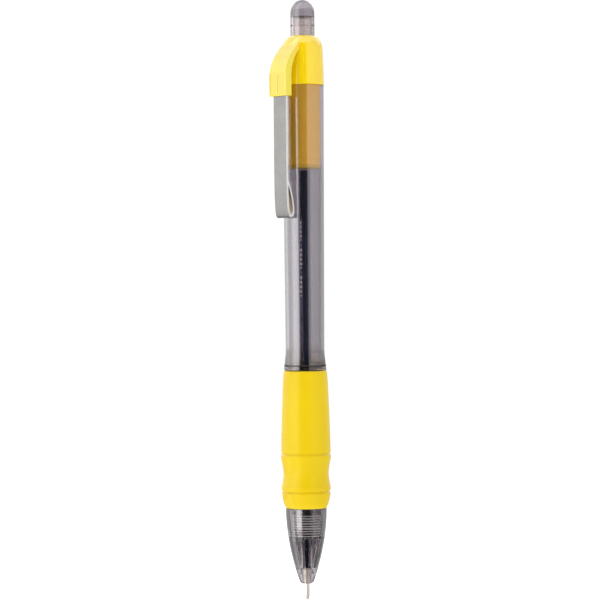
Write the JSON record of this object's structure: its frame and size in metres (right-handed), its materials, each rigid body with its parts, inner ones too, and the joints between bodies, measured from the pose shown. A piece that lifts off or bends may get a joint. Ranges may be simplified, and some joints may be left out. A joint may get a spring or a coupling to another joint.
{
  "type": "retractable ballpoint pen",
  "caption": "Retractable needle-point ballpoint pen with a smoke-clear barrel, a shaped rubber grip, a moulded cap with push button and a metal pocket clip.",
  "frame": {"origin": "the lowest point of the writing ball with the needle out, on the pen's long axis", "axes": "+Z along the pen's axis from the writing point to the push button, -Y towards the pocket clip, +X to the right of the clip"},
  "size_m": [0.012, 0.0147, 0.144],
  "materials": {
    "ball_metal": "polished",
    "needle_metal": "fine turned",
    "holder_plastic": "gloss",
    "tube_clear": "clear",
    "ink_dark": "wet",
    "follower_grease": "translucent grease",
    "spring_wire": "drawn wire",
    "smoke_clear": "clear, smoke tinted",
    "grip_rubber": "soft satin",
    "cap_plastic": "satin gloss",
    "clip_metal": "satin",
    "button_smoke": "smoke tinted, frosted",
    "cam_plastic": "natural acetal"
  },
  "bodies": {
    "barrel": {"barrel": "smoke_clear", "grip": "grip_rubber", "cap": "cap_plastic", "spring": "spring_wire"},
    "nose": {"nose_cone": "smoke_clear"},
    "clip": {"pocket_clip": "clip_metal"},
    "button": {"push_button": "button_smoke", "plunger": "cam_plastic"},
    "refill": {"refill_tube": "tube_clear", "ink": "ink_dark", "ink_follower": "follower_grease", "tip_holder": "holder_plastic", "needle_tip": "needle_metal"},
    "rotor": {"rotor": "cam_plastic"},
    "ball": {"writing_ball": "ball_metal"}
  },
  "joints": [
    {"name": "button_press", "type": "slide", "parent": "barrel", "child": "button", "axis": [0, 0, 1], "range_m": [-0.001, 0.0052]},
    {"name": "refill_travel", "type": "slide", "parent": "barrel", "child": "refill", "axis": [0, 0, 1], "range_m": [-0.001, 0.0052], "deforming": ["spring"]},
    {"name": "rotor_turn", "type": "hinge", "parent": "refill", "child": "rotor", "pos_m": [0, 0, 0.108], "axis": [0, 0, 1], "continuous": true},
    {"name": "ball_roll", "type": "hinge", "parent": "refill", "child": "ball", "pos_m": [0, 0, 0.00035], "axis": [1, 0, 0], "continuous": true},
    {"name": "clip_flex", "type": "hinge", "parent": "barrel", "child": "clip", "pos_m": [0, -0.00756, 0.122], "axis": [-1, 0, 0], "range_deg": [0, 6], "stiffness_Nm_per_rad": 1.3},
    {"name": "nose_unscrew", "type": "slide", "parent": "barrel", "child": "nose", "axis": [0, 0, -1], "range_m": [0, 0.0046]}
  ],
  "couplings": [
    {"joint": "refill_travel", "follows": "button_press", "ratio": 1}
  ]
}
